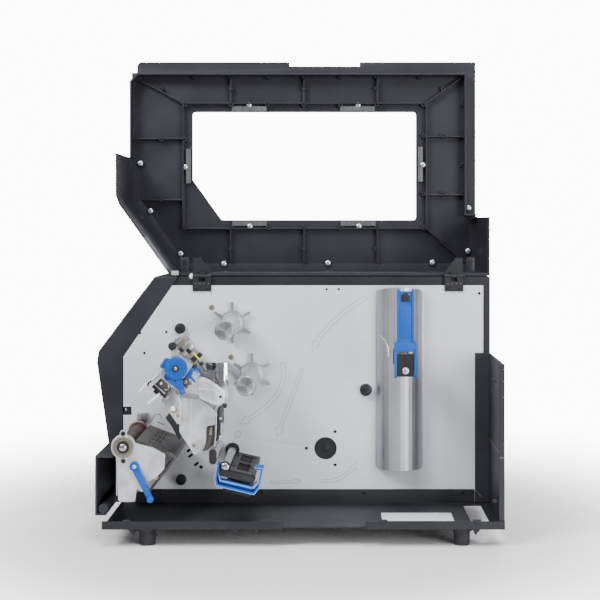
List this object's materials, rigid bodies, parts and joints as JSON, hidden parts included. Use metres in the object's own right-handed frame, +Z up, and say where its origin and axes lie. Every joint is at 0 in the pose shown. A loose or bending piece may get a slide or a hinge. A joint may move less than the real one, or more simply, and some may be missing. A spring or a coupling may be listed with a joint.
{
  "type": "thermal transfer label printer",
  "caption": "Industrial label printer with a hinged windowed media cover, ribbon spindles, platen, print head, label hanger and blue operating levers.",
  "frame": {"origin": "on the ground at the centre of the machine's box with its cover open", "axes": "+X towards the rear wall, -X is the operator's front where labels leave, -Y is the media side, +Y the electronics side, +Z up"},
  "size_m": [0.5152, 0.296, 0.618],
  "materials": {
    "cover_plastic": "textured satin",
    "black_steel": "powder coat",
    "grey_paint": "smooth satin paint",
    "bright_steel": "polished",
    "turned_aluminium": "turned",
    "cast_aluminium": "die cast",
    "bronze": "sintered",
    "blue_plastic": "satin moulded",
    "black_plastic": "moulded",
    "belt_rubber": "toothed",
    "dark_guide": "dark plated",
    "platen_rubber": "ground",
    "foot_rubber": "moulded",
    "clear_pane": "clear",
    "circuit_board": "solder mask",
    "display_glass": "glossy"
  },
  "bodies": {
    "root": {"base_pan": "black_steel", "center_plate": "grey_paint", "chassis_plate": "black_steel", "display_panel": "display_glass", "drive_belt": "belt_rubber", "electronics_cover": "cover_plastic", "feed_motor": "black_steel", "foot_far_front": "foot_rubber", "foot_far_rear": "foot_rubber", "foot_near_front": "foot_rubber", "foot_near_rear": "foot_rubber", "front_bezel": "cover_plastic", "front_lower_cover": "cover_plastic", "hanger_bar": "black_steel", "hanger_end_block": "black_plastic", "hinge_leaf_front": "black_steel", "hinge_leaf_rear": "black_steel", "latch_socket": "black_plastic", "main_board": "circuit_board", "media_back_plate": "bright_steel", "media_ramp": "dark_guide", "peel_blade": "black_steel", "platen_bearing_far": "bronze", "platen_bearing_near": "bronze", "platen_side_plate": "cast_aluminium", "power_inlet": "black_plastic", "power_supply": "bright_steel", "rear_lower_wall": "cover_plastic", "ribbon_guide_plate": "bright_steel", "sensor_bridge": "black_plastic", "side_arm_plate": "cast_aluminium"},
    "cover": {"cover_side_panel": "cover_plastic", "cover_top_frame": "cover_plastic", "cover_window": "clear_pane", "cover_hinge_strap_front": "black_steel", "cover_hinge_strap_rear": "black_steel", "window_clip_1": "bright_steel", "window_clip_2": "bright_steel", "window_clip_3": "bright_steel", "window_clip_4": "bright_steel", "window_clip_5": "bright_steel", "window_clip_6": "bright_steel"},
    "ribbon_spindle_upper": {"ribbon_spindle_upper": "turned_aluminium"},
    "ribbon_spindle_lower": {"ribbon_spindle_lower": "turned_aluminium"},
    "platen": {"platen_roller": "platen_rubber", "platen_pulley": "black_plastic"},
    "feed_motor_rotor": {"motor_pulley": "turned_aluminium"},
    "guide_roller_front": {"guide_roller_front": "bright_steel"},
    "guide_roller_rear": {"guide_roller_rear": "bright_steel"},
    "print_head": {"head_bracket": "cast_aluminium", "printhead": "black_plastic"},
    "ribbon_roller": {"ribbon_roller": "bright_steel"},
    "pressure_knob": {"pressure_knob": "blue_plastic"},
    "platen_latch": {"platen_latch_lever": "blue_plastic"},
    "media_retainer": {"media_retainer": "blue_plastic"},
    "media_guide": {"media_guide_slider": "blue_plastic"},
    "feed_button": {"feed_button": "blue_plastic"},
    "cancel_button": {"cancel_button": "blue_plastic"},
    "power_switch": {"power_switch": "black_plastic"}
  },
  "joints": [
    {"name": "cover_hinge", "type": "hinge", "parent": "root", "child": "cover", "pos_m": [0, -0.002, 0.32], "axis": [-1, 0, 0], "range_deg": [-180, 0]},
    {"name": "ribbon_spindle_upper_spin", "type": "hinge", "parent": "root", "child": "ribbon_spindle_upper", "pos_m": [-0.0795, 0, 0.2598], "axis": [0, 1, 0], "continuous": true},
    {"name": "ribbon_spindle_lower_spin", "type": "hinge", "parent": "root", "child": "ribbon_spindle_lower", "pos_m": [-0.0539, 0, 0.1926], "axis": [0, 1, 0], "continuous": true},
    {"name": "platen_spin", "type": "hinge", "parent": "root", "child": "platen", "pos_m": [-0.202, 0, 0.1187], "axis": [0, 1, 0], "continuous": true},
    {"name": "feed_motor_spin", "type": "hinge", "parent": "root", "child": "feed_motor_rotor", "pos_m": [-0.15, 0, 0.081], "axis": [0, 1, 0], "continuous": true},
    {"name": "guide_roller_front_spin", "type": "hinge", "parent": "root", "child": "guide_roller_front", "pos_m": [-0.0942, 0, 0.101], "axis": [0, 1, 0], "continuous": true},
    {"name": "guide_roller_rear_spin", "type": "hinge", "parent": "root", "child": "guide_roller_rear", "pos_m": [-0.0795, 0, 0.0935], "axis": [0, 1, 0], "continuous": true},
    {"name": "print_head_lift", "type": "hinge", "parent": "root", "child": "print_head", "pos_m": [-0.1, 0, 0.186], "axis": [0, -1, 0], "range_deg": [0, 22]},
    {"name": "ribbon_roller_spin", "type": "hinge", "parent": "print_head", "child": "ribbon_roller", "pos_m": [-0.143, 0, 0.2405], "axis": [0, 1, 0], "continuous": true},
    {"name": "pressure_knob_turn", "type": "hinge", "parent": "print_head", "child": "pressure_knob", "pos_m": [-0.1383, -0.134, 0.214], "axis": [0, -1, 0], "range_deg": [0, 90]},
    {"name": "platen_latch_turn", "type": "hinge", "parent": "root", "child": "platen_latch", "pos_m": [-0.1879, -0.136, 0.0961], "axis": [0, -1, 0], "range_deg": [0, 50]},
    {"name": "media_retainer_flip", "type": "hinge", "parent": "root", "child": "media_retainer", "pos_m": [0.139, -0.13, 0.217], "axis": [1, 0, 0], "range_deg": [0, 90]},
    {"name": "media_guide_slide", "type": "slide", "parent": "root", "child": "media_guide", "axis": [0, 1, 0], "range_m": [0, 0.085]},
    {"name": "feed_button_press", "type": "slide", "parent": "root", "child": "feed_button", "axis": [0.7974, 0, -0.6034], "range_m": [0, 0.0015], "stiffness_N_per_m": 400},
    {"name": "cancel_button_press", "type": "slide", "parent": "root", "child": "cancel_button", "axis": [0.7974, 0, -0.6034], "range_m": [0, 0.0015], "stiffness_N_per_m": 400},
    {"name": "power_switch_rock", "type": "hinge", "parent": "root", "child": "power_switch", "pos_m": [0.2533, 0.065, 0.062], "axis": [0, 1, 0], "range_deg": [0, 12]}
  ],
  "couplings": [
    {"joint": "feed_motor_spin", "follows": "platen_spin", "ratio": 2}
  ]
}
